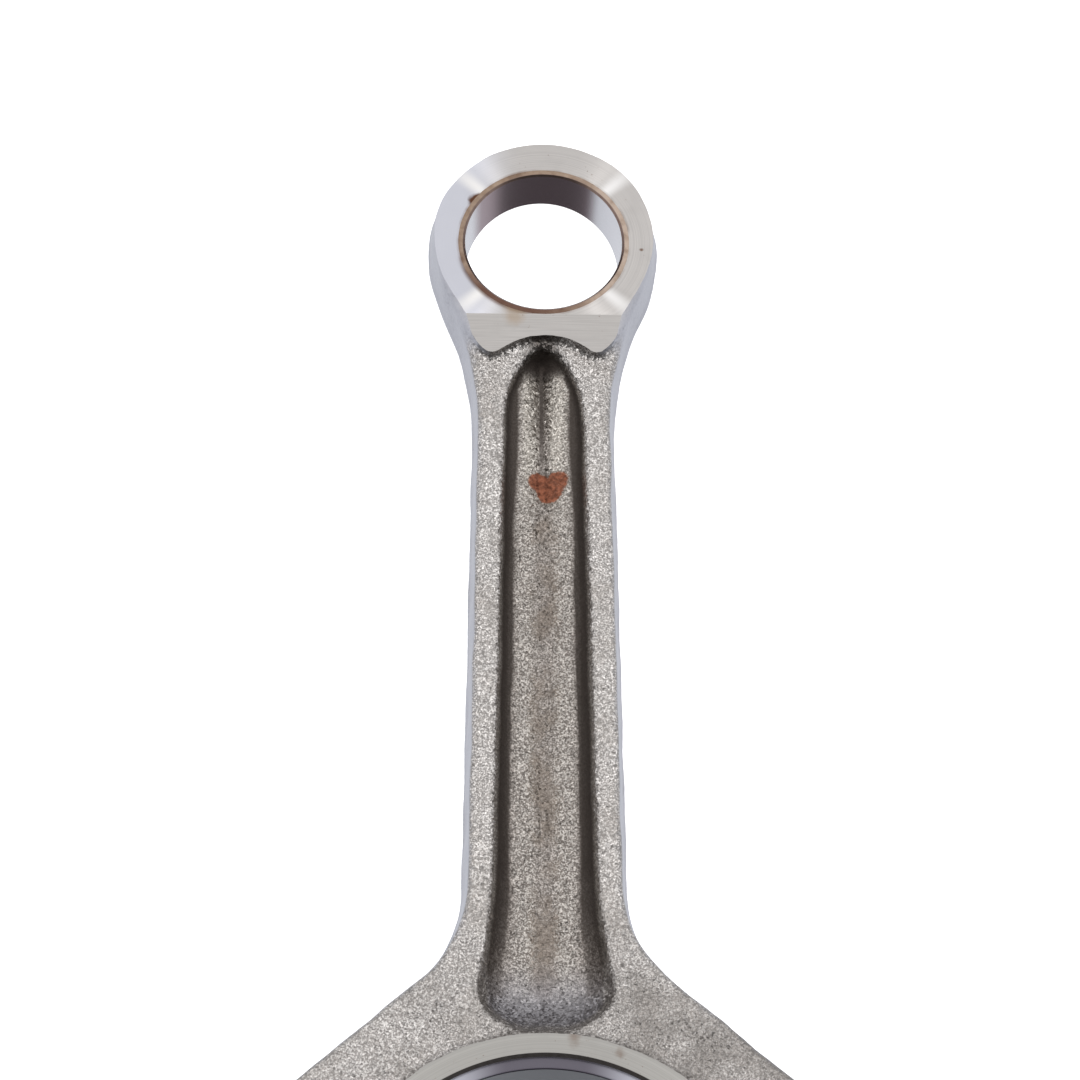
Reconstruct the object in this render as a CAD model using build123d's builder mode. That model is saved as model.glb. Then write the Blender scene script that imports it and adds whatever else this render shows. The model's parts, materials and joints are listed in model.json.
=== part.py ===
"""Connecting rod with a wedge-shaped small end, a bolted cap, plain bearing shells and a pressed bush.

Millimetres. The rod lies flat: X runs from bolt to bolt, +Y from the crank-pin bore to the
gudgeon-pin bore and +Z along both bores. The origin is the centre of the crank-pin bore, on the
forging's mid-plane, which is also its parting plane.
"""

import math
import os

from build123d import *

os.makedirs("parts", exist_ok=True)

# Driving dimensions
CENTRES = 154.0  # crank-pin centre to gudgeon-pin centre
THICKNESS = 16.2  # across the thrust faces and across the flat of the small end
DRAFT = 7.0  # forging draft of every outer side, degrees

# Big end
CRANK_R = 27.03  # running surface of the bearing shells
LINING = 0.3
SHELL_WALL = 1.6  # steel back and lining together
SHELL_WIDTH = 14.0
HOUSING_R = CRANK_R + SHELL_WALL
HOUSING_CHAMFER = 0.5
THRUST_R = 31.9  # outside of the machined thrust face
THRUST_STEP = 0.5  # thrust face above the forged skin
BOSS_X = 43.5  # outer side of the bolt bosses
BOLT_X = 36.0
TANG = (1.1, 4.0, 3.0)  # locating tang of a shell: depth, height and width
TANG_Z = 3.6
TANG_GAP = 0.15

# Shank
WEB = 5.0  # thickness between the two pockets
SHANK_TOP = (10.65, 122.3)  # half-width and height where the neck starts
SHANK_FOOT = (11.76, 53.4)  # half-width and height where the shoulders start
SHOULDER_R = 17.5  # hollow between the shank and a shoulder
SHOULDER_ANGLE = 39.8  # fall of the shoulders, degrees
CORNER_R = 6.0  # outer corner of a bolt boss
SKIN_TOP_Z = 6.7  # forged skin next to the small end
SKIN_FOOT_Z = THICKNESS / 2 - THRUST_STEP
POCKET_DRAFT = 20.0
POCKET_TOP = (6.1, 124.5, 136.2)  # half-width, height where the arch starts and its crown
POCKET_BASE = (7.3, 56.0, 32.7)  # half-width, height where the flare starts and the lowest point
POCKET_FILLET = 1.2

# Small end
PIN_R = 12.0
BUSH_WALL = 1.05
BUSH_R = PIN_R + BUSH_WALL
BUSH_CHAMFER = 0.35
TAPER = 7.5  # slope of each tapered face, degrees
BEND_Y = CENTRES - BUSH_R  # where the flat turns into the tapered face
NECK_TURN = 24.5  # steepest lean of the neck's outline, degrees
NECK_RADII = (50.0, 26.5)  # leaning out from the shank, and back in to the eye
ARCH = ((0, 137.1), (6.7, 134.75), 10.7)  # crown, foot and radius of the raised boss's front arch
LOBE = (1.8, 79.0)  # radius and turn of the rounded lobe beside the arch
BOSS_DRAFT = 10.0

# Cap, cap screws and dowels
SEAT_Y = -20.5  # screw seats on the cap
CAP_RING_R = 36.6
CAP_PAD = (18.0, 40.0)  # width of the balancing pad and its distance from the bore centre
THREAD_R = 4.5
SCREW_TIP_Y = 16.5
SCREW_SHANK_R = 4.1
SCREW_HOLE_R = 4.8
FLANGE_R = 7.5
FLANGE_HEIGHT = 1.8
FLANGE_SLOPE = 1.4  # height of the cone between the flange and the points
HEAD_FLATS = 11.0
HEAD_HEIGHT = 8.5
HEAD_DIMPLE = (3.4, 2.4, 1.6)  # hollow in the head's end: outer radius, inner radius and depth
THREAD_LENGTH = 16.0
HOLE_SPARE = 1.5  # tapped hole past the screw's tip
SPOT_R = 8.2
DOWEL_R = 5.5
DOWEL_HOLE_R = 4.7
DOWEL_LENGTH = 8.0
DOWEL_END_GAP = 0.3
DOWEL_CHAMFER = 0.2
FIT = 0.02  # radial clearance of a close fit

BEYOND = 12.0  # how far a blank or a cutter runs past the face that trims it
SPAN = 60.0  # half-width of a cutter that spans the whole rod
HALF = THICKNESS / 2


def write(part, name):
    """Label a finished piece and write it to its own file."""
    part.label = name
    export_step(part, f"parts/{name}.step")


def shank_lean():
    """Lean of the shank's sides from the rod's axis, degrees."""
    rise = SHANK_TOP[1] - SHANK_FOOT[1]
    return math.degrees(math.atan2(SHANK_FOOT[0] - SHANK_TOP[0], rise))


def heading(degrees):
    """Unit vector at an angle from +X."""
    return (math.cos(math.radians(degrees)), math.sin(math.radians(degrees)))


def half_ring(outer, inner, half):
    """Profile of half a shell, above (1) or below (-1) the joint face."""
    with BuildSketch(Plane.XY) as ring:
        Circle(outer)
        Circle(inner, mode=Mode.SUBTRACT)
        with Locations((0, half * outer)):
            Rectangle(2 * outer, 2 * outer, mode=Mode.INTERSECT)
    return ring.sketch


# Outline of the rod at the parting plane: shoulders, shank, neck and the eye of the small end
with BuildSketch(Plane.XY) as rod_outline:
    with BuildLine():
        lean = shank_lean()
        Line(SHANK_FOOT, SHANK_TOP)
        neck = JernArc(SHANK_TOP, heading(90 + lean), NECK_RADII[0], -NECK_TURN - lean)
        cheek = JernArc(neck @ 1, neck % 1, NECK_RADII[1], NECK_TURN)
        eye = TangentArc(cheek @ 1, (0, (cheek @ 1).Y + (cheek @ 1).X), tangent=cheek % 1)
        foot = JernArc(SHANK_FOOT, heading(lean - 90), SHOULDER_R, 90 - lean - SHOULDER_ANGLE)
        fall = heading(-SHOULDER_ANGLE)
        corner_width = CORNER_R * (1 - math.sin(math.radians(SHOULDER_ANGLE)))
        run = (BOSS_X - corner_width - (foot @ 1).X) / fall[0]
        slope = Line(foot @ 1, foot @ 1 + Vector(*fall) * run)
        corner = JernArc(slope @ 1, fall, CORNER_R, SHOULDER_ANGLE - 90)
        side = Line(corner @ 1, (BOSS_X, -BEYOND))
        Line(side @ 1, (0, -BEYOND))
        mirror(about=Plane.YZ)
    make_face()

# Outline of a pocket at its floor: pointed arch at the small end, flared foot at the big end
with BuildSketch(Plane.XY.offset(WEB / 2)) as pocket_outline:
    with BuildLine():
        inset = (SKIN_TOP_Z - WEB / 2) * math.tan(math.radians(POCKET_DRAFT))
        top = (POCKET_TOP[0] - inset, POCKET_TOP[1])
        base = (POCKET_BASE[0] - inset, POCKET_BASE[1])
        Line(base, top)
        lean = math.degrees(math.atan2(base[0] - top[0], top[1] - base[1]))
        flank = JernArc(top, heading(90 + lean), 17.0, 31)
        TangentArc(flank @ 1, (0, POCKET_TOP[2] - inset), tangent=flank % 1)
        flare = JernArc(base, heading(lean - 90), 90, 11)
        toe = JernArc(flare @ 1, flare % 1, 2.6, -52)
        TangentArc(toe @ 1, (0, POCKET_BASE[2] + inset), tangent=toe % 1)
        mirror(about=Plane.YZ)
    make_face()

with BuildPart() as pocket:
    add(pocket_outline.sketch)
    extrude(amount=HALF, taper=-POCKET_DRAFT)
    fillet(pocket.faces().sort_by(Axis.Z)[0].edges(), POCKET_FILLET)

# Front of the small end's raised boss, where the forging steps down to the shank: a wide arch
# between two rounded lobes
with BuildSketch(Plane.XY.offset(SKIN_TOP_Z)) as boss_front:
    with BuildLine():
        arch = RadiusArc(*ARCH)
        lobe = JernArc(arch @ 1, arch % 1, *LOBE)
        rise = Line(lobe @ 1, lobe @ 1 + (lobe % 1) * BEYOND)
        Polyline(rise @ 1, (SPAN, (rise @ 1).Y), (SPAN, -2 * BEYOND), (0, -2 * BEYOND))
        mirror(about=Plane.YZ)
    make_face()

# Everything above the forged skin of the shank and the big end, except the thrust face's boss
with BuildPart() as above_skin:
    with BuildSketch(Plane.YZ):
        with BuildLine():
            high = HALF + BEYOND
            Polyline(
                (-2 * BEYOND, SKIN_FOOT_Z),
                (THRUST_R + 2, SKIN_FOOT_Z),
                (BEND_Y - 6, SKIN_TOP_Z),
                (CENTRES, SKIN_TOP_Z - 0.2),
                (CENTRES, high),
                (-2 * BEYOND, high),
                close=True,
            )
        make_face()
    extrude(amount=SPAN, both=True)
    with BuildSketch(Plane.XY.offset(SKIN_TOP_Z)):
        add(boss_front.sketch)
    extrude(amount=HALF - SKIN_TOP_Z + 1, taper=-BOSS_DRAFT, mode=Mode.INTERSECT)
    with Locations((0, 0, SKIN_FOOT_Z - 1)):
        Cone(THRUST_R + 1 + THRUST_STEP, THRUST_R, THRUST_STEP + 1,
             align=(Align.CENTER, Align.CENTER, Align.MIN), mode=Mode.SUBTRACT)

# The machined faces of the small end: everything outside the wedge is cut away on both sides
with BuildPart() as outside_wedge:
    with BuildSketch(Plane.YZ):
        with BuildLine():
            reach = CENTRES + 40
            fall_z = (reach - BEND_Y) * math.tan(math.radians(TAPER))
            Polyline(
                (-2 * BEYOND, HALF),
                (BEND_Y, HALF),
                (reach, HALF - fall_z),
                (reach, HALF + BEYOND),
                (-2 * BEYOND, HALF + BEYOND),
                close=True,
            )
        make_face()
    extrude(amount=SPAN, both=True)
    mirror(about=Plane.XY)

# The housing bore with its edge chamfers
with BuildPart() as housing_bore:
    Cylinder(HOUSING_R, THICKNESS + 2 * BEYOND)
    for end in (1, -1):
        with Locations(Plane((0, 0, end * (HALF - HOUSING_CHAMFER)), z_dir=(0, 0, end))):
            Cone(HOUSING_R, HOUSING_R + 3, 3, align=(Align.CENTER, Align.CENTER, Align.MIN))

# Notch for a shell's tang, one on each side of the joint face
with BuildPart() as tang_notch:
    with Locations((HOUSING_R - 1 + (TANG[0] + TANG_GAP) / 2, 0, TANG_Z)):
        Box(TANG[0] + TANG_GAP + 2, 2 * (TANG[1] + TANG_GAP), TANG[2] + 2 * TANG_GAP)

# Rod body: one forging, machined at both bores, both side faces and the joint face
with BuildPart() as rod_body:
    add(rod_outline.sketch)
    extrude(amount=HALF, taper=DRAFT)
    add(above_skin.part, mode=Mode.SUBTRACT)
    add(pocket.part, mode=Mode.SUBTRACT)
    mirror(about=Plane.XY)
    add(outside_wedge.part, mode=Mode.SUBTRACT)
    split(bisect_by=Plane.XZ, keep=Keep.BOTTOM)
    add(housing_bore.part, mode=Mode.SUBTRACT)
    add(tang_notch.part, mode=Mode.SUBTRACT)
    with Locations((0, CENTRES, 0)):
        Cylinder(BUSH_R, 2 * THICKNESS, mode=Mode.SUBTRACT)
    for side in (-1, 1):
        with Locations(Plane((side * BOLT_X, 0, 0), z_dir=(0, 1, 0))):
            Cylinder(DOWEL_R, DOWEL_LENGTH / 2 + DOWEL_END_GAP,
                     align=(Align.CENTER, Align.CENTER, Align.MIN), mode=Mode.SUBTRACT)
            Cylinder(THREAD_R + FIT, SCREW_TIP_Y + HOLE_SPARE,
                     align=(Align.CENTER, Align.CENTER, Align.MIN), mode=Mode.SUBTRACT)
write(rod_body.part, "rod_body")

# Bearing cap: forged half ring with two screw bosses and a balancing pad
with BuildPart() as bearing_cap:
    with BuildSketch(Plane.XY):
        Circle(CAP_RING_R)
        Rectangle(CAP_PAD[0], CAP_PAD[1], align=(Align.CENTER, Align.MAX))
        with Locations((0, BEYOND)):
            Rectangle(2 * BOSS_X, BEYOND - SEAT_Y, align=(Align.CENTER, Align.MAX))
    extrude(amount=HALF, taper=DRAFT)
    with BuildSketch(Plane.XY.offset(SKIN_FOOT_Z)):
        Rectangle(4 * BOSS_X, 4 * BOSS_X)
    extrude(amount=BEYOND, mode=Mode.SUBTRACT)
    with Locations((0, 0, SKIN_FOOT_Z - 1)):
        Cone(THRUST_R + 1 + THRUST_STEP, THRUST_R, THRUST_STEP + 1,
             align=(Align.CENTER, Align.CENTER, Align.MIN))
    mirror(about=Plane.XY)
    split(bisect_by=Plane.XZ, keep=Keep.TOP)
    add(housing_bore.part, mode=Mode.SUBTRACT)
    add(tang_notch.part, mode=Mode.SUBTRACT)
    for side in (-1, 1):
        with Locations(Plane((side * BOLT_X, 0, 0), z_dir=(0, -1, 0))):
            Cylinder(DOWEL_R + FIT, DOWEL_LENGTH / 2 + DOWEL_END_GAP,
                     align=(Align.CENTER, Align.CENTER, Align.MIN), mode=Mode.SUBTRACT)
            Cylinder(SCREW_HOLE_R, 2 * BEYOND - SEAT_Y,
                     align=(Align.CENTER, Align.CENTER, Align.MIN), mode=Mode.SUBTRACT)
        with Locations(Plane((side * BOLT_X, SEAT_Y, 0), z_dir=(0, -1, 0))):
            Cylinder(SPOT_R, 2 * BEYOND,
                     align=(Align.CENTER, Align.CENTER, Align.MIN), mode=Mode.SUBTRACT)
write(bearing_cap.part, "bearing_cap")

# Small-end bush, its ends machined flush with the tapered faces
with BuildPart() as small_end_bush:
    with Locations((0, CENTRES, 0)):
        Cylinder(BUSH_R, THICKNESS)
        Cylinder(PIN_R, THICKNESS, mode=Mode.SUBTRACT)
    add(outside_wedge.part, mode=Mode.SUBTRACT)
    mouths = small_end_bush.faces().filter_by(lambda face: abs(face.normal_at().Z) > 0.9)
    chamfer(mouths.edges().group_by(SortBy.LENGTH)[0], BUSH_CHAMFER)
write(small_end_bush.part, "small_end_bush")

# Bearing shells: a steel back with its tang, and the thin lining bonded inside it
for place, half in (("upper", 1), ("lower", -1)):
    back_profile = half_ring(HOUSING_R, CRANK_R + LINING, half)
    lining_profile = half_ring(CRANK_R + LINING, CRANK_R, half)
    with BuildPart() as shell_back:
        extrude(back_profile, amount=SHELL_WIDTH / 2, both=True)
        with Locations((HOUSING_R - 1 + TANG[0] / 2, half * TANG[1] / 2, TANG_Z)):
            Box(TANG[0] + 2, TANG[1], TANG[2])
        Cylinder(CRANK_R + LINING, SHELL_WIDTH, mode=Mode.SUBTRACT)
    write(shell_back.part, f"{place}_shell_back")
    with BuildPart() as shell_lining:
        extrude(lining_profile, amount=SHELL_WIDTH / 2, both=True)
    write(shell_lining.part, f"{place}_shell_lining")

# Cap screws with twelve-point flanged heads, and the hollow dowels round them
for place, side in (("left", -1), ("right", 1)):
    seat = Plane((side * BOLT_X, SEAT_Y, 0), x_dir=(1, 0, 0), z_dir=(0, 1, 0))
    shank = SCREW_TIP_Y - SEAT_Y
    with BuildPart() as cap_screw:
        with BuildSketch(seat.offset(-HEAD_HEIGHT)):
            RegularPolygon(HEAD_FLATS / 2, 6, major_radius=False)
            RegularPolygon(HEAD_FLATS / 2, 6, major_radius=False, rotation=30)
        extrude(amount=HEAD_HEIGHT)
        with Locations(seat.offset(-FLANGE_HEIGHT)):
            Cylinder(FLANGE_R, FLANGE_HEIGHT, align=(Align.CENTER, Align.CENTER, Align.MIN))
        with Locations(seat.offset(-FLANGE_HEIGHT - FLANGE_SLOPE)):
            Cone(HEAD_FLATS / 2, FLANGE_R, FLANGE_SLOPE,
                 align=(Align.CENTER, Align.CENTER, Align.MIN))
        with Locations(seat.offset(-HEAD_HEIGHT)):
            Cone(*HEAD_DIMPLE, align=(Align.CENTER, Align.CENTER, Align.MIN), mode=Mode.SUBTRACT)
        with Locations(seat):
            Cylinder(SCREW_SHANK_R, shank - 1, align=(Align.CENTER, Align.CENTER, Align.MIN))
        with Locations(seat.offset(shank - THREAD_LENGTH)):
            Cylinder(THREAD_R, THREAD_LENGTH - 1, align=(Align.CENTER, Align.CENTER, Align.MIN))
        with Locations(seat.offset(shank - 1)):
            Cone(THREAD_R, THREAD_R - 1, 1, align=(Align.CENTER, Align.CENTER, Align.MIN))
    write(cap_screw.part, f"cap_screw_{place}")
    with BuildPart() as dowel:
        with Locations(Plane((side * BOLT_X, 0, 0), z_dir=(0, 1, 0))):
            Cylinder(DOWEL_R, DOWEL_LENGTH)
            Cylinder(DOWEL_HOLE_R, DOWEL_LENGTH, mode=Mode.SUBTRACT)
        chamfer(dowel.edges().filter_by(GeomType.CIRCLE), DOWEL_CHAMFER)
    write(dowel.part, f"dowel_{place}")
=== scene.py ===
"""Looks of a connecting rod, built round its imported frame.

The forging and its cap are meshed from one smooth formula each and then machined with cutters,
as the real ones are. The bush, the shells, the dowels and the screws are turned from profiles.
Shapes are in millimetres, in the frame's axes: +Y runs from the crank-pin bore to the
gudgeon-pin bore and +Z along the bores. Blender's own units are metres.
"""

import json
import math
from functools import reduce

import bmesh
import bpy
import numpy as np
from mathutils import Matrix, Vector


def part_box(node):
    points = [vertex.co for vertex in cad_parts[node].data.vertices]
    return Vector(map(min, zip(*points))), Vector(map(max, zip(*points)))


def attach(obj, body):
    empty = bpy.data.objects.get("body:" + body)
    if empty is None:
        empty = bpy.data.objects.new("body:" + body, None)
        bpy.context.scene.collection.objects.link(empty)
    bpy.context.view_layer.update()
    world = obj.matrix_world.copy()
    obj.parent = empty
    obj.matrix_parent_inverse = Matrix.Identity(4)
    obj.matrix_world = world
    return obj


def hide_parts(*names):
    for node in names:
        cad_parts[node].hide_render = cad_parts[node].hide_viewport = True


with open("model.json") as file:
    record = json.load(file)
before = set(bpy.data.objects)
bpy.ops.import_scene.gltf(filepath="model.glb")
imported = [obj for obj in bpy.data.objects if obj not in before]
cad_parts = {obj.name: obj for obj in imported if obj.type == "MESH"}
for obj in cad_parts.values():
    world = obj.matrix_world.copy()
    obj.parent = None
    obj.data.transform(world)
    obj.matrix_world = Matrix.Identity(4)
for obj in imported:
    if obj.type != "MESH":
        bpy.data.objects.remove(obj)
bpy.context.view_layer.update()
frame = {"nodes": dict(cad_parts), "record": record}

MM = 0.001

# -------- sizes taken from the frame
mounts = {mount["name"]: mount for mount in frame["record"]["mounts"]}


def corner(node, high, axis):
    """One coordinate of a node's box, in millimetres."""
    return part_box(node)[high][axis] / MM


CENTRES = mounts["gudgeon_pin_bore"]["pos_m"][1] / MM
PIN_R = mounts["gudgeon_pin_bore"]["dims"]["r_mm"]
CRANK_R = mounts["crank_pin_bore"]["dims"]["r_mm"]
HALF = corner("rod_body", 1, 2)
BUSH_R = corner("small_end_bush", 1, 0)
HOUSING_R = corner("upper_shell_back", 1, 1)
SHELL_HALF = corner("upper_shell_back", 1, 2)
LINING = corner("upper_shell_lining", 1, 1) - CRANK_R
BOSS_X = corner("rod_body", 1, 0)
BOLT_X = (corner("dowel_right", 0, 0) + corner("dowel_right", 1, 0)) / 2
DOWEL_R = corner("dowel_right", 1, 0) - BOLT_X
DOWEL_LENGTH = 2 * corner("dowel_right", 1, 1)
SCREW_TIP_Y = corner("cap_screw_right", 1, 1)
SCREW_END_Y = corner("cap_screw_right", 0, 1)
FLANGE_R = corner("cap_screw_right", 1, 0) - BOLT_X
PAD_Y = -corner("bearing_cap", 0, 1)

# -------- driving dimensions of the looks
DRAFT = 7.0
FRONT_DRAFT = 10.0  # of the raised boss of the small end
TAPER = 7.5
BEND_Y = CENTRES - BUSH_R
THRUST_R = 31.9
SKIN_FOOT_Z = HALF - 0.5
SKIN_TOP_Z = 6.7
BOSS_TOP_Z = 8.6  # forged height of the small end's boss, before its faces are machined
FLASH = 0.14  # how far the flash line stands out at the parting plane
RELIEF = 0.0028  # unevenness of the forged skin, as a share of its waves' lengths
HOUSING_CHAMFER = 0.5
BUSH_CHAMFER = 0.38
SHANK_TOP = (10.65, 122.3)
SHANK_FOOT = (11.76, 53.4)
SHOULDER_ANGLE = 39.8
SHOULDER_R = 17.5
CORNER_R = 6.0
NECK_RADII = (50.0, 26.5)
NECK_TURN = 24.5
WEB_Z = 2.5
POCKET_DRAFT = 20.0
POCKET_TOP = (6.1, 124.5, 136.2)
POCKET_BASE = (7.3, 56.0, 32.7)
CREASE_SHIFT = 0.3  # how far the web's crease lies left of the middle
LOBE_ALONG = (45, 60, 100, 112, 124, 130)  # the web's two lobes: places along the rod,
LOBE_HEIGHT = (0, 0.45, 0.45, 0.7, 1.3, 1.5)  # how high they stand there,
LOBE_WIDTH = 5.4  # and how far out from the crease they reach
SEAT_Y = -20.5
CAP_RING_R = 36.6
CAP_FILLET = 3.0
PAD_HALF = 9.0
SPOT_R = 8.2
SCREW_HOLE_R = 4.8
SCREW_SHANK_R = 4.1
THREAD_R = 4.5
THREAD_PITCH = 1.25
THREAD_LENGTH = 16.0
THREAD_DEPTH = 0.68
THREAD_FLAT = 0.12  # share of the pitch that is flat at the crest, and again at the root
POINTS_R = 6.0  # rows of the head with this radius get its twelve points
POINTS_TIP_R = 6.18
POINTS_APOTHEM = 5.5
DOWEL_ROOM = 0.3  # how much deeper than the dowel its bore is
TAP_ROOM = 1.2  # thread past the screw's tip
DRILL_ROOM = 3.5  # drilled hole past the screw's tip
TANG_Z = 3.6
TANG_HALF = 1.5
TANG_LENGTH = 4.0
TANG_HEIGHT = 1.1
TANG_ROOM = 0.15  # gap all round a tang in its notch
LINING_CHAMFER = 0.15
GRID = 0.5  # spacing of the forging's mesh
JOINT_GAP = 0.06  # half of the fine line between rod and cap
BURIED = 40.0  # how far a cutter runs out past the metal
START = 2.0  # how far before the joint face the cutters of its holes begin


# -------- outlines made of lines and arcs
def lean():
    """Lean of the shank's sides from the rod's axis, degrees."""
    return math.degrees(math.atan2(SHANK_FOOT[0] - SHANK_TOP[0], SHANK_TOP[1] - SHANK_FOOT[1]))


def bend_to(start, heading, end):
    """Radius and turn of the arc that leaves start along heading and reaches end."""
    chord = math.degrees(math.atan2(end[1] - start[1], end[0] - start[0]))
    half_turn = (chord - heading + 180) % 360 - 180
    return math.dist(start, end) / abs(2 * math.sin(math.radians(half_turn))), 2 * half_turn


def trace(start, heading, steps):
    """Segments of an outline. A step is a length with no turn, or a radius with a turn in
    degrees, positive to the left. Returns the segments, the last point and the last heading."""
    segments = []
    x, y = start
    for size, turn in steps:
        segments.append((x, y, heading, size, turn))
        across = math.radians(heading + (90 if turn > 0 else -90))
        if turn:
            x += size * math.cos(across)
            y += size * math.sin(across)
            heading += turn
            across = math.radians(heading + (90 if turn > 0 else -90))
            x -= size * math.cos(across)
            y -= size * math.sin(across)
        else:
            x += size * math.cos(math.radians(heading))
            y += size * math.sin(math.radians(heading))
    return segments, (x, y), heading


def depth(segments, x, y):
    """Distance from an outline, positive on its left side."""
    nearest = np.full(np.broadcast(x, y).shape, 1e9)
    signed = np.zeros(nearest.shape)
    for px, py, heading, size, turn in segments:
        ux, uy = math.cos(math.radians(heading)), math.sin(math.radians(heading))
        if turn:
            hand = 1 if turn > 0 else -1
            cx, cy = px - hand * uy * size, py + hand * ux * size
            start = math.atan2(py - cy, px - cx)
            sweep = math.radians(abs(turn))
            along = np.mod(hand * (np.arctan2(y - cy, x - cx) - start), 2 * math.pi)
            back = along > sweep / 2 + math.pi
            along = start + hand * np.where(back, 0, np.minimum(along, sweep))
            qx, qy = cx + size * np.cos(along), cy + size * np.sin(along)
            tx, ty = -hand * np.sin(along), hand * np.cos(along)
        else:
            along = np.clip((x - px) * ux + (y - py) * uy, 0, size)
            qx, qy = px + ux * along, py + uy * along
            tx, ty = ux, uy
        gap = np.hypot(x - qx, y - qy)
        side = np.where(tx * (y - qy) - ty * (x - qx) >= 0, 1, -1)
        signed = np.where(gap < nearest, gap * side, signed)
        nearest = np.minimum(gap, nearest)
    return signed


def rod_outline():
    """Right half of the rod at its parting plane, from the boss of the big end up to the tip."""
    fall = math.radians(SHOULDER_ANGLE)
    _, end, _ = trace(SHANK_FOOT, lean() - 90, [(SHOULDER_R, 90 - lean() - SHOULDER_ANGLE)])
    run = (BOSS_X - CORNER_R * (1 - math.sin(fall)) - end[0]) / math.cos(fall)
    top_y = end[1] - run * math.sin(fall) - CORNER_R * math.cos(fall)
    steps = [
        (top_y + BURIED, 0),
        (CORNER_R, 90 - SHOULDER_ANGLE),
        (run, 0),
        (SHOULDER_R, lean() + SHOULDER_ANGLE - 90),
        (math.dist(SHANK_FOOT, SHANK_TOP), 0),
        (NECK_RADII[0], -NECK_TURN - lean()),
        (NECK_RADII[1], NECK_TURN),
    ]
    segments, eye, heading = trace((BOSS_X, -BURIED), 90, steps)
    return segments + trace(eye, heading, [(eye[0], 90)])[0]


def pocket_outline():
    """Right half of a pocket at its floor, from its foot up to its pointed top."""
    inset = (SKIN_TOP_Z - WEB_Z) * math.tan(math.radians(POCKET_DRAFT))
    top = (POCKET_TOP[0] - inset, POCKET_TOP[1])
    base = (POCKET_BASE[0] - inset, POCKET_BASE[1])
    tilt = math.degrees(math.atan2(base[0] - top[0], top[1] - base[1]))
    _, toe, heading = trace(base, tilt - 90, [(90, 11), (2.6, -52)])
    foot = (0, POCKET_BASE[2] + inset)
    last = bend_to(toe, heading, foot)
    steps = [(last[0], -last[1]), (2.6, 52), (90, -11), (math.dist(base, top), 0), (17, 31)]
    segments, shoulder, heading = trace(foot, heading + last[1] + 180, steps)
    crown = bend_to(shoulder, heading, (0, POCKET_TOP[2] - inset))
    return segments + trace(shoulder, heading, [crown])[0]


def boss_outline():
    """Front of the small end's raised boss: a wide arch between two rounded lobes."""
    crown, arch_r = (0, 137.1), 10.7
    turn = -2 * math.degrees(math.asin(math.dist(crown, (6.7, 134.75)) / 2 / arch_r))
    segments, end, heading = trace(crown, 0, [(arch_r, turn), (1.8, 79)])
    return segments + trace(end, heading, [(BURIED, 0)])[0]


# -------- the forgings as smooth formulas
def meet(a, b, r):
    """Where both solids are, with the edge between them rounded. Positive is inside."""
    inner = np.maximum(r, np.minimum(a, b))
    return inner - np.hypot(np.maximum(r - a, 0), np.maximum(r - b, 0))


def join(a, b, r):
    """Where either solid is, with the corner between them filled."""
    outer = np.minimum(-r, np.maximum(a, b))
    return outer + np.hypot(np.maximum(r + a, 0), np.maximum(r + b, 0))


def ramp(value, low, high):
    """Smooth step from 0 at low to 1 at high."""
    t = np.clip((value - low) / (high - low), 0, 1)
    return t * t * (3 - 2 * t)


def relief(x, y, z, seed):
    """Slight unevenness of a forged surface, in millimetres."""
    rng = np.random.default_rng(seed)
    total = 0
    for wave in rng.uniform(2.5, 11, 14):
        way = rng.normal(size=3)
        way *= 2 * math.pi / wave / np.linalg.norm(way)
        total = total + wave * np.sin(x * way[0] + y * way[1] + z * way[2] + rng.uniform(0, 6.28))
    return RELIEF * total


def drafted(outline, h):
    """Outer side that leans in above the parting plane, with the thin flash line on it."""
    draft = math.radians(DRAFT)
    wall = (outline - h * math.tan(draft)) * math.cos(draft)
    return wall + FLASH * (1 - ramp(h, 0.45, 1.0))


def thrust_boss(x, y, h):
    """Raised ring that the thrust face is machined on."""
    cone = (THRUST_R + HALF - h - np.hypot(x, y)) * math.sqrt(0.5)
    return meet(cone, HALF + 0.4 - h, 0.3)


ROD, POCKET, BOSS = rod_outline(), pocket_outline(), boss_outline()


def rod_forging(x, y, z):
    """Rod before machining."""
    h, side = np.abs(z), np.abs(x)
    rise = (y - THRUST_R - 2) / (BEND_Y - 6 - THRUST_R - 2)
    skin = SKIN_FOOT_Z + (SKIN_TOP_Z - SKIN_FOOT_Z) * np.clip(rise, 0, 1) - h
    front = math.radians(FRONT_DRAFT)
    boss = (depth(BOSS, side, y) - (h - SKIN_TOP_Z) * math.tan(front)) * math.cos(front)
    top = join(skin, meet(boss, BOSS_TOP_Z - h, 0.8), 0.9)
    top = join(top, thrust_boss(x, y, h), 0.4)
    edge = 0.9 + 1.6 * ramp(y, 128, 142)
    solid = meet(drafted(depth(ROD, side, y), h), top, edge)
    across = np.clip(np.abs(x + CREASE_SHIFT) / LOBE_WIDTH, 0, 1)
    floor = WEB_Z + np.interp(y, LOBE_ALONG, LOBE_HEIGHT) * np.sin(math.pi * across)
    slope = math.radians(POCKET_DRAFT)
    wall = (depth(POCKET, side, y) + (h - WEB_Z) * math.tan(slope)) * math.cos(slope)
    corner_r = 2.6 + 1.8 * (1 - ramp(y, 35, 44)) - 1.4 * ramp(y, 126, 132)
    solid = meet(solid, -meet(wall, h - floor, corner_r), 0.5)
    return np.minimum(solid + relief(x, y, z, 5), y + 1.5)


def block(x, y, low, high):
    """Depth inside an upright block."""
    gap_x = np.minimum(x - low[0], high[0] - x)
    gap_y = np.minimum(y - low[1], high[1] - y)
    outside = np.hypot(np.minimum(gap_x, 0), np.minimum(gap_y, 0))
    return np.where(np.minimum(gap_x, gap_y) > 0, np.minimum(gap_x, gap_y), -outside)


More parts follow.
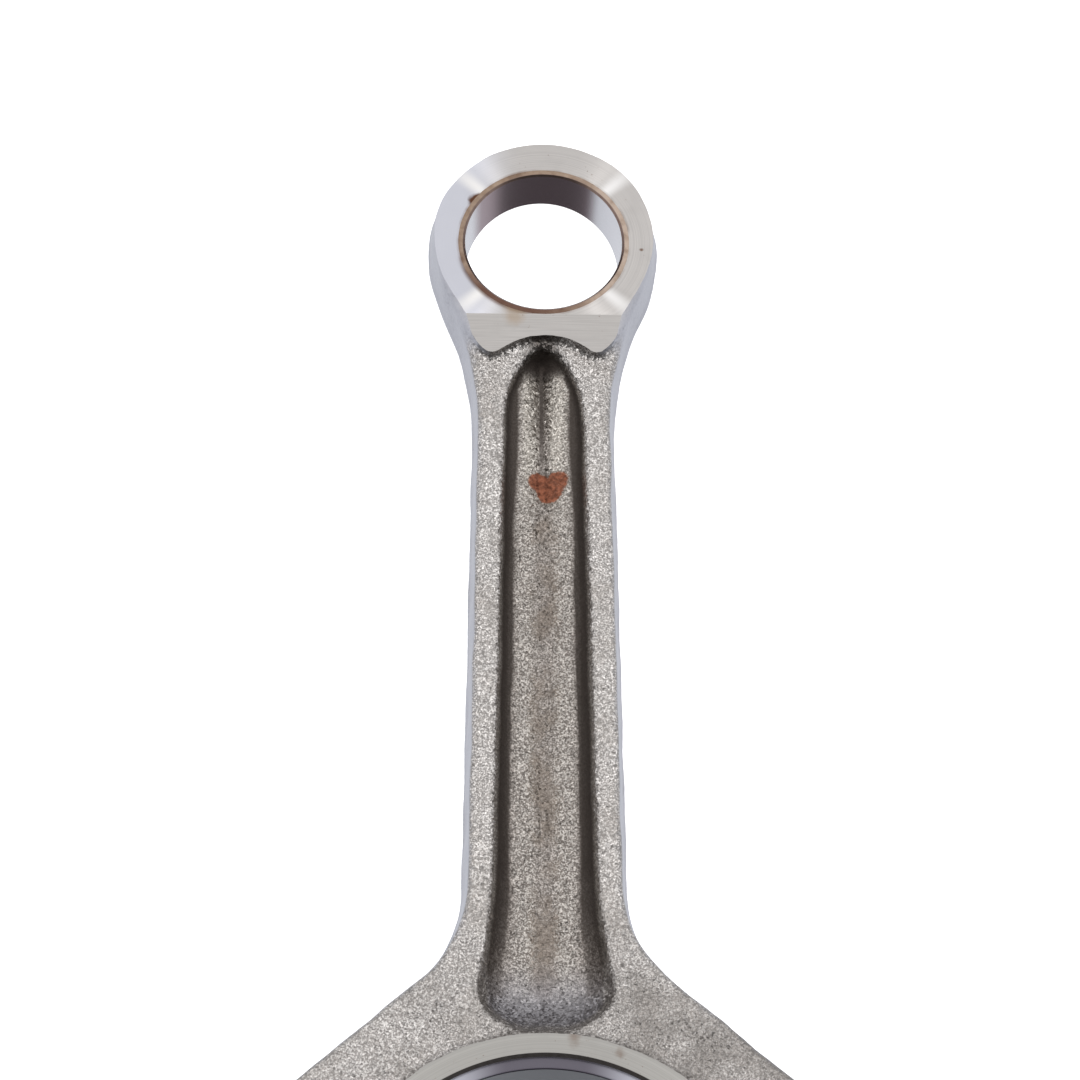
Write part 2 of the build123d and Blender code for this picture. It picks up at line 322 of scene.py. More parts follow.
def cap_forging(x, y, z):
    """Cap before machining."""
    h = np.abs(z)
    ring = CAP_RING_R - np.hypot(x, y)
    wings = block(x, y, (-BOSS_X, SEAT_Y), (BOSS_X, BURIED))
    pad = block(x, y, (-PAD_HALF, -PAD_Y - 1), (PAD_HALF, 0))
    outline = join(join(ring, wings, CAP_FILLET), pad, CAP_FILLET)
    top = join(SKIN_FOOT_Z - h, thrust_boss(x, y, h), 0.4)
    return np.minimum(meet(drafted(outline, h), top, 0.9) + relief(x, y, z, 6), 1.5 - y)


UNIT = np.eye(3, dtype=int)


def crossing_points(value, low, cells):
    """One starting point in each cell that the surface passes: the mean of its edge crossings."""
    total = np.zeros((len(cells), 3))
    count = np.zeros(len(cells))
    for axis in range(3):
        step = UNIT[axis]
        others = [UNIT[k] for k in range(3) if k != axis]
        for far in ((0, 0), (0, 1), (1, 0), (1, 1)):
            a = cells + far[0] * others[0] + far[1] * others[1]
            b = a + step
            va, vb = value[tuple(a.T)], value[tuple(b.T)]
            crossed = (va > 0) != (vb > 0)
            share = np.where(crossed, va / np.where(crossed, va - vb, 1), 0)
            total += np.where(crossed[:, None], a + share[:, None] * step, 0)
            count += crossed
    return low + GRID * total / count[:, None]


def settle(formula, points):
    """Moves points onto the surface, three steps along its slope."""
    for _ in range(3):
        here = formula(*points.T)
        probe = 0.01
        slope = np.stack([(formula(*(points + probe * UNIT[k]).T) - here) / probe
                          for k in range(3)], axis=1)
        size = np.maximum((slope ** 2).sum(1), 0.05)
        move = -here[:, None] * slope / size[:, None]
        length = np.linalg.norm(move, axis=1, keepdims=True)
        points = points + move * np.minimum(1, GRID / np.maximum(length, 1e-9))
    return points


def surface(formula, low, high, seed):
    """Closed mesh of a smooth formula: its corners and its four-sided faces."""
    low = np.array(low, float)
    counts = np.ceil((np.array(high) - low) / GRID).astype(int) + 1
    axes = [low[k] + GRID * np.arange(counts[k]) for k in range(3)]
    value = formula(*np.meshgrid(*axes, indexing="ij", sparse=True))
    inside = value > 0
    corners = sum(inside[i:counts[0] - 1 + i, j:counts[1] - 1 + j, k:counts[2] - 1 + k].astype(int)
                  for i in (0, 1) for j in (0, 1) for k in (0, 1))
    cells = np.argwhere((corners > 0) & (corners < 8))
    number = np.full(counts - 1, -1)
    number[tuple(cells.T)] = np.arange(len(cells))
    points = settle(formula, crossing_points(value, low, cells))
    points += np.random.default_rng(seed).normal(0, 0.008, points.shape)
    faces = []
    for axis in range(3):
        step, one, two = (UNIT[(axis + k) % 3] for k in range(3))
        near = inside[tuple(slice(0, counts[k] - step[k]) for k in range(3))]
        far = inside[tuple(slice(step[k], counts[k]) for k in range(3))]
        edges = np.argwhere(near != far)
        leaving = near[tuple(edges.T)]
        ring = [number[tuple((edges - a * one - b * two).T)]
                for a, b in ((1, 1), (0, 1), (0, 0), (1, 0))]
        ring = np.stack(ring, axis=1)
        faces.append(np.where(leaving[:, None], ring, ring[:, ::-1]))
    return points, np.concatenate(faces)


# -------- mesh helpers
def mesh_object(name, points, faces):
    """Object from corners in millimetres and faces."""
    mesh = bpy.data.meshes.new(name)
    mesh.from_pydata((np.asarray(points, float) * MM).tolist(), [],
                     faces.tolist() if isinstance(faces, np.ndarray) else faces)
    mesh.validate()
    mesh.update()
    made = bpy.data.objects.new(name, mesh)
    bpy.context.scene.collection.objects.link(made)
    return made


def frame_along(origin, axis):
    """Matrix that stands a turned shape at origin, its own +Z along axis."""
    turn = Vector((0, 0, 1)).rotation_difference(Vector(axis)).to_matrix().to_4x4()
    return Matrix.Translation(Vector(origin)) @ turn


def turned(name, profile, place, sides, shape=None):
    """Solid of revolution from (height, radius) pairs along the axis, closed at both ends.
    shape(height, angle, radius) may change a radius."""
    angles = 2 * math.pi * np.arange(sides) / sides
    heights = np.array([h for h, _ in profile])
    radii = np.array([r for _, r in profile])
    around = np.tile(radii[:, None], (1, sides))
    if shape:
        around = shape(heights[:, None], angles[None, :], around)
    ring = np.stack([around * np.cos(angles), around * np.sin(angles),
                     np.tile(heights[:, None], (1, sides))], axis=2).reshape(-1, 3)
    faces = []
    for row in range(len(profile) - 1):
        for k in range(sides):
            a, b = row * sides + k, row * sides + (k + 1) % sides
            faces.append((a, b, b + sides, a + sides))
    last = (len(profile) - 1) * sides
    faces.append(tuple(range(sides))[::-1])
    faces.append(tuple(range(last, last + sides)))
    points = [place @ Vector(p) for p in ring]
    return mesh_object(name, points, faces)


def rectangle(low, high):
    """Profile between two opposite corners."""
    return [low, (high[0], low[1]), high, (low[0], high[1])]


def prism(name, profile, low, high):
    """Solid with a (y, z) profile, running along X from low to high."""
    count = len(profile)
    points = [(x, y, z) for x in (low, high) for y, z in profile]
    faces = [(k, (k + 1) % count, count + (k + 1) % count, count + k) for k in range(count)]
    faces += [tuple(range(count))[::-1], tuple(range(count, 2 * count))]
    return mesh_object(name, points, faces)


def right_way_out(thing):
    """Turns a closed mesh's faces outwards."""
    work = bmesh.new()
    work.from_mesh(thing.data)
    bmesh.ops.recalc_face_normals(work, faces=work.faces)
    work.to_mesh(thing.data)
    work.free()


def machine(blank, cutters):
    """Cuts every cutter out of the blank."""
    for cutter in cutters:
        right_way_out(cutter)
        cut = blank.modifiers.new("cut", "BOOLEAN")
        cut.operation = "DIFFERENCE"
        cut.solver = "MANIFOLD"
        cut.object = cutter
    bpy.context.view_layer.update()
    graph = bpy.context.evaluated_depsgraph_get()
    cut_mesh = bpy.data.meshes.new_from_object(blank.evaluated_get(graph))
    blank.modifiers.clear()
    blank.data = cut_mesh
    for cutter in cutters:
        bpy.data.objects.remove(cutter)


def face_table(mesh):
    """Centres in millimetres and normals of a mesh's faces."""
    centres = np.zeros(3 * len(mesh.polygons))
    normals = np.zeros(3 * len(mesh.polygons))
    mesh.polygons.foreach_get("center", centres)
    mesh.polygons.foreach_get("normal", normals)
    return centres.reshape(-1, 3) / MM, normals.reshape(-1, 3)


def finish_faces(thing, materials, kinds, sharp_angle=28.0):
    """Gives each face its material, and creases smooth shading where finish or slope changes."""
    mesh = thing.data
    mesh.materials.clear()
    for material in materials:
        mesh.materials.append(material)
    mesh.polygons.foreach_set("material_index", kinds.astype(np.int32))
    mesh.polygons.foreach_set("use_smooth", np.ones(len(mesh.polygons), bool))
    _, normals = face_table(mesh)
    edge_of = np.zeros(len(mesh.loops), np.int32)
    mesh.loops.foreach_get("edge_index", edge_of)
    sizes = np.zeros(len(mesh.polygons), np.int32)
    mesh.polygons.foreach_get("loop_total", sizes)
    owner = np.repeat(np.arange(len(mesh.polygons)), sizes)
    order = np.argsort(edge_of, kind="stable")
    edges, faces = edge_of[order], owner[order]
    pair = np.flatnonzero(edges[1:] == edges[:-1])
    one, two = faces[pair], faces[pair + 1]
    slope = (normals[one] * normals[two]).sum(1) < math.cos(math.radians(sharp_angle))
    cut = (kinds[one] > 0) | (kinds[two] > 0)
    sharp = np.zeros(len(mesh.edges), bool)
    sharp[edges[pair]] = (kinds[one] != kinds[two]) | (slope & cut)
    mark = mesh.attributes.new("sharp_edge", "BOOLEAN", "EDGE")
    mark.data.foreach_set("value", sharp)
    mesh.update()


def near(value, target, slack=0.012):
    """Where values lie on a target."""
    return np.abs(value - target) < slack


# -------- material graphs
class Graph:
    """Short calls that build the nodes of a material or a world. Lengths are in millimetres."""

    def __init__(self, name, owners=bpy.data.materials, shader="Principled BSDF"):
        self.owner = owners.new(name)
        self.owner.use_nodes = True
        self.tree = self.owner.node_tree
        self.shader = self.tree.nodes[shader]
        self.source = self.node("TexCoord").outputs
        self.place = self.vector("SCALE", self.source["Object"], scale=1 / MM)
        self.x, self.y, self.z = self.split(self.place)
        self.nx, self.ny, self.nz = self.split(self.source["Normal"])

    def feed(self, socket, value):
        """Sets a socket, or links to it."""
        if isinstance(value, bpy.types.NodeSocket):
            self.tree.links.new(value, socket)
        else:
            socket.default_value = value

    def node(self, kind, *values, **settings):
        """New node with its settings, its first inputs fed with the values."""
        made = self.tree.nodes.new("ShaderNode" + kind)
        for name, setting in settings.items():
            setattr(made, name, setting)
        for socket, value in zip(made.inputs, values):
            self.feed(socket, value)
        return made

    def vector(self, operation, a, b=(0, 0, 0), scale=1.0):
        """Vector that one maths node makes."""
        made = self.node("VectorMath", a, b, operation=operation)
        if operation == "SCALE":
            self.feed(made.inputs["Scale"], scale)
        return made.outputs["Vector"]

    def split(self, value):
        """X, Y and Z of a vector."""
        return self.node("SeparateXYZ", value).outputs[:3]

    def pack(self, x, y, z):
        """Vector from X, Y and Z."""
        return self.node("CombineXYZ", x, y, z).outputs[0]

    def math(self, operation, a, b=0.0, c=0.0):
        """Number that one maths node makes."""
        return self.node("Math", a, b, c, operation=operation).outputs[0]

    def times(self, *values):
        """Product of several values."""
        return reduce(lambda a, b: self.math("MULTIPLY", a, b), values)

    def most(self, *values):
        """Largest of several values."""
        return reduce(lambda a, b: self.math("MAXIMUM", a, b), values)

    def size(self, value):
        """Value without its sign."""
        return self.math("ABSOLUTE", value)

    def rise(self, value, low, high, bottom=0.0, top=1.0):
        """Smooth step between two values, either way round."""
        if low > high:
            low, high, bottom, top = high, low, top, bottom
        made = self.node("MapRange", value, interpolation_type="SMOOTHSTEP")
        names = ("From Min", "From Max", "To Min", "To Max")
        for name, number in zip(names, (low, high, bottom, top)):
            self.feed(made.inputs[name], number)
        return made.outputs["Result"]

    def noise(self, size, detail=2.0, vector=None, rough=0.5):
        """Noise with features of about that size."""
        made = self.node("TexNoise", self.place if vector is None else vector)
        self.feed(made.inputs["Scale"], 1 / size)
        self.feed(made.inputs["Detail"], detail)
        self.feed(made.inputs["Roughness"], rough)
        return made.outputs["Fac"]

    def facets(self, size, tilt):
        """Normal of a surface broken into small flats, each turned its own way."""
        made = self.node("TexVoronoi", self.place)
        self.feed(made.inputs["Scale"], 1 / size)
        turn = self.vector("SUBTRACT", made.outputs["Color"], (0.5, 0.5, 0.5))
        turn = self.vector("SCALE", turn, scale=tilt)
        smooth = self.node("NewGeometry").outputs["Normal"]
        return self.vector("NORMALIZE", self.vector("ADD", smooth, turn))

    def blend(self, share, a, b):
        """Colour a where share is 0, colour b where it is 1."""
        made = self.node("Mix", data_type="RGBA")
        self.feed(made.inputs["Factor"], share)
        colours = [socket for socket in made.inputs if socket.type == "RGBA"]
        for socket, value in zip(colours, (a, b)):
            self.feed(socket, value if isinstance(value, bpy.types.NodeSocket) else (*value, 1))
        return next(socket for socket in made.outputs if socket.type == "RGBA")

    def spot(self, x, y, radius, soft=0.5, wobble=0.6, size=1.6):
        """Round patch seen along Z, its edge broken up by noise."""
        away = self.vector("SUBTRACT", self.pack(self.x, self.y, 0), (x, y, 0))
        away = self.node("VectorMath", away, operation="LENGTH").outputs["Value"]
        noise = self.math("MULTIPLY_ADD", self.noise(size, 3), 2 * wobble, -wobble)
        return self.rise(self.math("ADD", away, noise), radius + soft, radius - soft)

    def around(self, y):
        """Distance from an axis along Z through (0, y)."""
        across = self.math("SUBTRACT", self.y, y)
        square = self.math("MULTIPLY_ADD", self.x, self.x, self.times(across, across))
        return self.math("SQRT", square)

    def turning(self, y, across, along, detail=3.0):
        """Angle round an axis along Z through (0, y), and the fine marks of turning round it."""
        turn = self.math("ARCTAN2", self.math("SUBTRACT", self.y, y), self.x)
        where = self.pack(self.times(turn, across), self.times(self.z, along), 0.0)
        return turn, self.noise(1.0, detail, where)

    def bump(self, height, depth, normal=None):
        """Relief of that depth from a height between 0 and 1."""
        made = self.node("Bump")
        self.feed(made.inputs["Strength"], 1.0)
        self.feed(made.inputs["Distance"], depth * MM)
        self.feed(made.inputs["Height"], height)
        if normal is not None:
            self.feed(made.inputs["Normal"], normal)
        return made.outputs["Normal"]

    def metal(self, colour, rough, normal):
        """Feeds the shader and returns the material."""
        for name, value in (("Metallic", 1.0), ("Base Color", colour), ("Roughness", rough),
                            ("Normal", normal)):
            self.feed(self.shader.inputs[name], value)
        return self.owner


RUST = (0.36, 0.085, 0.035)
BROWN = (0.17, 0.085, 0.045)
TAN = (0.42, 0.30, 0.19)


def outer_sides(g, flat):
    """Where the forging's outer sides are, with the cheeks round its small end."""
    outward = g.math("MULTIPLY", g.nx, g.math("SIGN", g.x))
    radial = g.math("MULTIPLY_ADD", g.nx, g.x, g.times(g.ny, g.math("SUBTRACT", g.y, CENTRES)))
    radial = g.times(radial, g.rise(g.y, 138, 143), 1 / BUSH_R)
    outward = g.most(outward, radial)
    cheek = g.times(g.rise(flat, 0.99, 0.90), g.rise(g.y, 134, 139))
    return g.times(g.rise(outward, 0.05, 0.3), g.most(g.rise(flat, 0.60, 0.25), cheek))


def inside_pocket(g, off_axis):
    """Where the pocket's floor and walls are."""
    within = g.times(g.rise(off_axis, 8.6, 7.6), g.rise(g.size(g.z), 6.3, 4.8))
    return g.times(within, g.rise(g.y, 30.5, 33.0), g.rise(g.y, 139.0, 138.0))


def web_tone(g, off_axis, speck):
    """The pocket's floor: dull, with painted shade, darker and browner, in the middle and a
    painted highlight on the lobes either side.
    """
    dull = g.blend(speck, (0.20, 0.178, 0.162), (0.50, 0.46, 0.43))
    # Painted shade: the middle of the floor is coloured darker and browner.
    middle = g.times(g.rise(off_axis, 3.0, 1.6), g.rise(g.noise(4.0, 2), 0.35, 0.65))
    middle = g.times(middle, g.rise(g.y, 120, 108))
    dull = g.blend(g.times(middle, 0.7), dull, (0.20, 0.165, 0.137))
    # Painted highlight: paler bands either side of the crease, and paler lobes beside it towards
    # the top.
    lobe_highlight = g.times(g.rise(off_axis, 0.7, 2.4), g.rise(off_axis, 5.0, 3.6))
    dull = g.blend(g.times(lobe_highlight, speck, 0.6), dull, (0.62, 0.59, 0.55))
    lobe_highlight = g.times(g.rise(off_axis, 0.3, 1.4), g.rise(off_axis, 3.8, 2.4), g.rise(g.y, 106, 122))
    pale = g.blend(speck, (0.36, 0.33, 0.295), (0.80, 0.76, 0.70))
    dull = g.blend(g.times(lobe_highlight, 0.7), dull, pale)
    return g.blend(g.rise(g.y, 44, 35, 0.0, 0.8), dull, (0.28, 0.275, 0.30))


def pocket_shade(g, off_axis, flat):
    """Painted shade in the pocket: on its walls, in the crease of its floor and at its top end."""
    crease_shade = g.size(g.math("ADD", g.x, CREASE_SHIFT))
    crease_shade = g.times(g.rise(crease_shade, 0.55, 0.15), g.rise(g.y, 110, 126, 0.0, 0.9))
    steep = g.times(g.rise(flat, 0.97, 0.86), g.rise(g.ny, 0.35, 0.1), g.rise(off_axis, 2.4, 3.4))
    steep = g.times(steep, g.rise(g.y, 36, 52, 0.5, 0.9))
    foot_of_wall = g.math("SUBTRACT", off_axis, g.rise(g.y, 96, 124, 4.5, 3.2))
    foot_of_wall = g.times(g.rise(foot_of_wall, 0.0, 0.9), g.rise(g.y, 44, 56, 0.0, 0.95))
    return g.most(steep, foot_of_wall, crease_shade, g.rise(g.y, 130.0, 134.0))


def rust_blot(g):
    """Where the blot of rust on the floor's front side is, and its colour, darker at its edge."""
    lobes = ((-0.8, 115.7, 1.5), (2.2, 115.9, 1.5), (0.8, 114.3, 2.0))
    blot = g.most(*(g.spot(x, y, radius, 0.3) for x, y, radius in lobes))
    blot = g.times(blot, g.rise(g.z, 0.0, 0.5))
    rust = g.blend(g.rise(g.noise(0.5, 3), 0.35, 0.65), (0.22, 0.08, 0.045), (0.42, 0.16, 0.09))
    return blot, g.blend(g.times(g.rise(blot, 0.9, 0.4), 0.8), rust, (0.08, 0.055, 0.035))


def forged_steel():
    """Shot-blasted skin: fine bright grains, smoother outer sides with a painted bluish
    reflection, painted shade in the pocket and some rust.
    """
    g = Graph("forged_steel_skin")
    off_axis = g.size(g.x)
    flat = g.size(g.nz)
    grain = g.noise(0.26, 2.0, rough=0.6)
    patches = g.noise(6.0, 3.0)
    speck = g.rise(grain, 0.44, 0.64)
    colour = g.blend(speck, (0.32, 0.30, 0.288), (0.80, 0.77, 0.75))
    colour = g.blend(g.rise(patches, 0.35, 0.75, 0.0, 0.4), colour, (0.33, 0.30, 0.275))
    big_end = g.times(g.rise(g.y, 52, 36), g.rise(g.noise(9.0, 3), 0.35, 0.7, 0.25, 0.75))
    big_end = g.times(big_end, g.rise(g.x, -20, 20, 0.5, 1.0))
    colour = g.blend(big_end, colour, (0.20, 0.183, 0.170))
    side = outer_sides(g, flat)
    # The outer sides get a smoother, even skin, coloured bluer as a painted reflection.
    smooth_skin_and_reflection = g.blend(patches, (0.47, 0.47, 0.51), (0.60, 0.60, 0.64))
    colour = g.blend(g.times(side, 0.9), colour, smooth_skin_and_reflection)
    within = inside_pocket(g, off_axis)
    colour = g.blend(within, colour, web_tone(g, off_axis, speck))
    # Painted shade: the pocket's walls, the crease of its floor and its top end are coloured dark.
    shade = g.times(within, pocket_shade(g, off_axis, flat))
    colour = g.blend(shade, colour, (0.085, 0.071, 0.063))
    # Painted shade: a dark patch at the pointed top of the pocket.
    pocket_top_shade = g.spot(-0.2, 136.4, 2.4, 1.8, 0.3)
    colour = g.blend(g.times(pocket_top_shade, 0.85), colour, (0.075, 0.062, 0.055))
    blot, rust = rust_blot(g)
    colour = g.blend(g.times(blot, 0.93), colour, rust)
    stain = g.most(g.spot(-33.5, 32.0, 0.8, 0.5, 1.0), g.spot(-27, 33.0, 0.6, 0.5, 1.0))
    colour = g.blend(g.times(stain, g.rise(g.nz, 0.6, 0.9), 0.5), colour, RUST)
    rough = g.math("MULTIPLY_ADD", grain, 0.18, 0.30)
    rough = g.most(rough, g.times(g.most(blot, shade), 0.7))
    uneven = g.math("MULTIPLY_ADD", g.noise(0.75, 2.0), 0.8, grain)
    uneven = g.times(uneven, g.math("MULTIPLY_ADD", side, -0.75, 1.0))
    tilted = g.facets(0.32, g.math("MULTIPLY_ADD", g.most(side, shade), -0.5, 0.66))
    return g.metal(colour, rough, g.bump(uneven, 0.07, tilted))


def machined(name, direction, colour, rough, streak, marks=0.5):
    """Ground or turned steel. The tool's marks run across direction 'x' or 'y', or round the
    gudgeon-pin bore for 'round' and round the crank-pin bore for 'ring'."""
    g = Graph(name)
    if direction in ("round", "ring"):
        middle = CENTRES if direction == "round" else 0.0
        radius = g.around(middle)
        tangent = g.pack(g.x, g.math("SUBTRACT", g.y, middle), 0.0)
        lines = g.pack(g.times(radius, 7.0), 0.0, g.times(g.z, 0.2))
    else:
        tangent = (1.0, 0, 0) if direction == "x" else (0, 1.0, 0)
        fine, slow = (7.0, 0.12) if direction == "x" else (0.12, 7.0)
        lines = g.vector("MULTIPLY", g.place, (fine, slow, 1.0))
        tangent = g.pack(*tangent)
    mark = g.noise(1.0, 3.0, lines)
    cloud = g.noise(3.0, 3.0)
    fleck = g.noise(0.5, 2.0)
    tone = g.blend(g.rise(mark, 0.3, 0.7), tuple(0.86 * c for c in colour), colour)
    tone = g.blend(g.rise(cloud, 0.45, 0.8, 0.0, 0.25), tone, tuple(0.75 * c for c in colour))
    tone = g.blend(g.rise(fleck, 0.70, 0.78, 0.0, 0.5), tone, BROWN)
    normal = g.bump(mark, 0.004 * marks)
    roughness = g.math("MULTIPLY_ADD", cloud, 0.10, rough - 0.05)
    g.shader.inputs["Anisotropic"].default_value = streak
    g.feed(g.shader.inputs["Tangent"], g.vector("NORMALIZE", tangent))
    return g, tone, roughness, normal


def turned_taper():
    """Tapered face of the small end, turned round the bore: painted light on its left side, which
    is paler and bluer, two painted highlight streaks on each side, and stained brown beside the
    bush."""
    g, tone, rough, normal = machined("turned_taper", "round", (0.67, 0.64, 0.62), 0.31, 0.95)
    # Painted light: the left side is coloured paler and bluer.
    tone = g.blend(g.rise(g.x, -3.0, -13.0, 0.0, 0.9), tone, (0.68, 0.69, 0.765))
    radius = g.around(CENTRES)
    # Painted highlight: two bright streaks on each side of the bore, coloured into the turned
    # face.
    lean_up = g.math("ARCTAN2", g.math("SUBTRACT", g.y, CENTRES), g.size(g.x))
    painted_glint = g.size(g.math("SUBTRACT", g.size(lean_up), 0.76))
    painted_glint = g.times(g.rise(painted_glint, 0.12, 0.0), g.rise(radius, BUSH_R + 7, BUSH_R + 1, 0.4, 1.0))
    tone = g.blend(painted_glint, tone, (0.97, 0.95, 0.94))
    rim = g.rise(radius, BUSH_R + 0.45, BUSH_R)
    tone = g.blend(g.times(rim, g.rise(g.noise(3.0, 2), 0.3, 0.8), 0.7), tone, (0.24, 0.15, 0.10))
    patch = g.spot(-10.3, CENTRES + 7.4, 1.15, 0.35, 0.5, 1.2)
    low_left = g.times(g.rise(radius, BUSH_R + 0.8, BUSH_R), g.rise(g.x, 1.0, -5.0))
    low_left = g.times(low_left, g.rise(g.y, CENTRES - 2, CENTRES - 6))
    tone = g.blend(g.most(patch, g.times(low_left, 0.75)), tone, (0.13, 0.06, 0.035))
    tone = g.blend(g.times(g.spot(-4.4, 141.8, 1.5, 0.9), 0.55), tone, TAN)
    tone = g.blend(g.times(g.spot(14.9, 152.6, 0.25, 0.15, 0.2, 0.6), 0.8), tone, BROWN)
    return g.metal(tone, rough, normal)


def ground_strip():
    """Flat of the small end, ground across the rod, with a painted highlight where it bends to the
    taper.
    """
    g, tone, rough, normal = machined("ground_strip", "y", (0.57, 0.545, 0.527), 0.36, 0.4, 0.4)
    # Painted highlight: a thin bright line along the bend to the taper.
    edge = g.rise(g.y, BEND_Y - 0.15, BEND_Y)
    tone = g.blend(g.times(edge, 0.35), tone, (0.75, 0.73, 0.70))
    tone = g.blend(g.times(g.spot(-4.6, 140.6, 1.3, 0.9), 0.5), tone, TAN)
    return g.metal(tone, rough, normal)


def thrust_steel():
    """Thrust face: turned, lightly scored, with two brown stains."""
    g, tone, rough, normal = machined("thrust_steel", "ring", (0.50, 0.485, 0.46), 0.36, 0.6)
    stain = g.most(g.spot(4.0, 31.1, 0.8, 0.6, 1.1), g.spot(10.2, 28.9, 0.5, 0.5, 1.0))
    return g.metal(g.blend(g.times(stain, 0.45), tone, BROWN), rough, normal)


def joint_steel():
    """Milled joint faces and seats, and the bores under the bush, the dowels and the screws."""
    g, tone, rough, normal = machined("joint_steel", "x", (0.52, 0.51, 0.50), 0.34, 0.4)
    return g.metal(tone, rough, normal)


def honed_bore():
    """Honed housing bore, with fine marks round it."""
    g = Graph("honed_bore")
    _, marks = g.turning(0.0, 60.0, 6.0)
    tone = g.blend(marks, (0.42, 0.42, 0.45), (0.54, 0.54, 0.57))
    return g.metal(tone, 0.3, g.bump(marks, 0.003))


def chamfer_steel():
    """Turned chamfer, coloured dark."""
    g = Graph("chamfer_steel")
    tone = g.blend(g.noise(0.8, 3), (0.13, 0.115, 0.105), (0.27, 0.245, 0.235))
    return g.metal(tone, 0.42, g.bump(g.noise(0.4, 2), 0.01))


def bush_bronze():
    """Turned bronze: brown end faces, a dark chamfer and a grey bore with painted shade, purplish
    brown, at its top.
    """
    g = Graph("bush_bronze")
    radius = g.around(CENTRES)
    mottle = g.noise(0.9, 3)
    face = g.blend(mottle, (0.24, 0.155, 0.11), (0.52, 0.40, 0.31))
    face = g.blend(g.rise(g.noise(3.0, 2), 0.45, 0.7, 0.0, 0.6), face, (0.15, 0.085, 0.06))
    lower = g.times(g.rise(g.y, CENTRES - 3, CENTRES - 9), g.rise(g.x, 9.0, -2.0))
    face = g.blend(g.times(lower, 0.8), face, (0.13, 0.06, 0.045))
    pale = g.times(g.rise(g.x, 3.0, 10.0), g.rise(g.noise(2.0, 2), 0.35, 0.6, 0.3, 0.9))
    face = g.blend(pale, face, (0.60, 0.48, 0.40))
    chamfer = g.blend(mottle, (0.15, 0.10, 0.085), (0.30, 0.22, 0.19))
    edge_r = PIN_R + BUSH_CHAMFER
    end = g.blend(g.rise(radius, edge_r, edge_r - 0.1), face, chamfer)
    turn, marks = g.turning(CENTRES, 8.0, 9.0)
    bore = g.blend(marks, (0.54, 0.53, 0.55), (0.70, 0.69, 0.71))
    # Painted shade: the top of the bore, its far wall, is coloured dark purplish brown.
    far_wall_shade = g.times(g.rise(turn, 0.74, 1.0), g.rise(turn, 2.75, 2.45))
    bore = g.blend(g.times(far_wall_shade, 0.92), bore, (0.25, 0.165, 0.18))
    tone = g.blend(g.rise(g.size(g.nz), 0.05, 0.4), bore, end)
    return g.metal(tone, 0.27, g.bump(marks, 0.003))


def shell_ends(g, tone, dark, bright):
    """Adds a shell's end faces, with painted shade in the middle and a painted reflection towards
    its sides.
    """
    # Painted shade in the middle of the end faces, painted reflection towards their sides.
    end = g.blend(g.rise(g.size(g.x), 5, 14), dark, bright)
    return g.blend(g.rise(g.size(g.nz), 0.3, 0.7), tone, end)


def shell_steel():
    """Steel back of a bearing shell, finely ground."""
    g = Graph("shell_steel")
    _, marks = g.turning(0.0, 6.0, 8.0)
    tone = g.blend(marks, (0.24, 0.245, 0.27), (0.36, 0.365, 0.39))
    # End faces with painted shade in the middle and a painted reflection at the sides.
    tone = shell_ends(g, tone, (0.14, 0.13, 0.155), (0.50, 0.50, 0.56))
    return g.metal(tone, 0.34, g.bump(marks, 0.003))


def lining_alloy():
    """Bored aluminium-tin lining: soft grey, with faint turning."""
    g = Graph("lining_alloy")
    _, marks = g.turning(0.0, 3.0, 5.0, 2.0)
    tone = g.blend(g.noise(5.0, 3), (0.40, 0.405, 0.43), (0.50, 0.505, 0.53))
    tone = g.blend(g.times(marks, 0.3), tone, (0.32, 0.32, 0.34))
    # End faces with painted shade in the middle and a painted reflection at the sides.
    tone = shell_ends(g, tone, (0.12, 0.11, 0.135), (0.42, 0.42, 0.48))
    return g.metal(tone, 0.36, g.bump(marks, 0.002))


def screw_steel():
    """Black-oxide steel with an oily sheen and paler worn patches."""
    g = Graph("screw_steel")
    wear = g.noise(1.4, 4)
    tone = g.blend(g.rise(wear, 0.55, 0.75), (0.045, 0.045, 0.05), (0.16, 0.155, 0.15))
    rough = g.math("MULTIPLY_ADD", wear, 0.2, 0.28)
    return g.metal(tone, rough, g.bump(g.noise(0.5, 3), 0.012))


def dowel_steel():
    """Centreless-ground steel."""
    g = Graph("dowel_steel")
    lines = g.noise(1.0, 3.0, g.vector("MULTIPLY", g.place, (0.4, 9.0, 0.4)))
    tone = g.blend(lines, (0.5, 0.5, 0.52), (0.66, 0.66, 0.68))
    return g.metal(tone, 0.24, g.bump(lines, 0.003))


# -------- cutters and pieces
def wedge_cutters():
    """The two solids outside the small end's flats and tapered faces."""
    reach = CENTRES + BURIED
    low = HALF - (reach - BEND_Y) * math.tan(math.radians(TAPER))
    profile = [(-BURIED, HALF), (BEND_Y, HALF), (reach, low), (reach, BURIED), (-BURIED, BURIED)]
    under = [(y, -z) for y, z in profile]
    return [prism("cutter", side, -2 * BURIED, 2 * BURIED) for side in (profile, under)]


def housing_cutter():
    """Housing bore with its chamfered mouths."""
    end = HALF + 2
    wide = HOUSING_R + HOUSING_CHAMFER + 2
    mouth = HALF - HOUSING_CHAMFER
    profile = [(-end, wide), (-mouth, HOUSING_R), (mouth, HOUSING_R), (end, wide)]
    return turned("cutter", profile, Matrix.Identity(4), 360)


def tang_cutter():
    """Notch across the joint face for both shells' tangs."""
    low, high = TANG_Z - TANG_HALF - TANG_ROOM, TANG_Z + TANG_HALF + TANG_ROOM
    far = TANG_LENGTH + TANG_ROOM
    profile = rectangle((-far, low), (far, high))
    return prism("cutter", profile, HOUSING_R - 1, HOUSING_R + TANG_HEIGHT + TANG_ROOM)


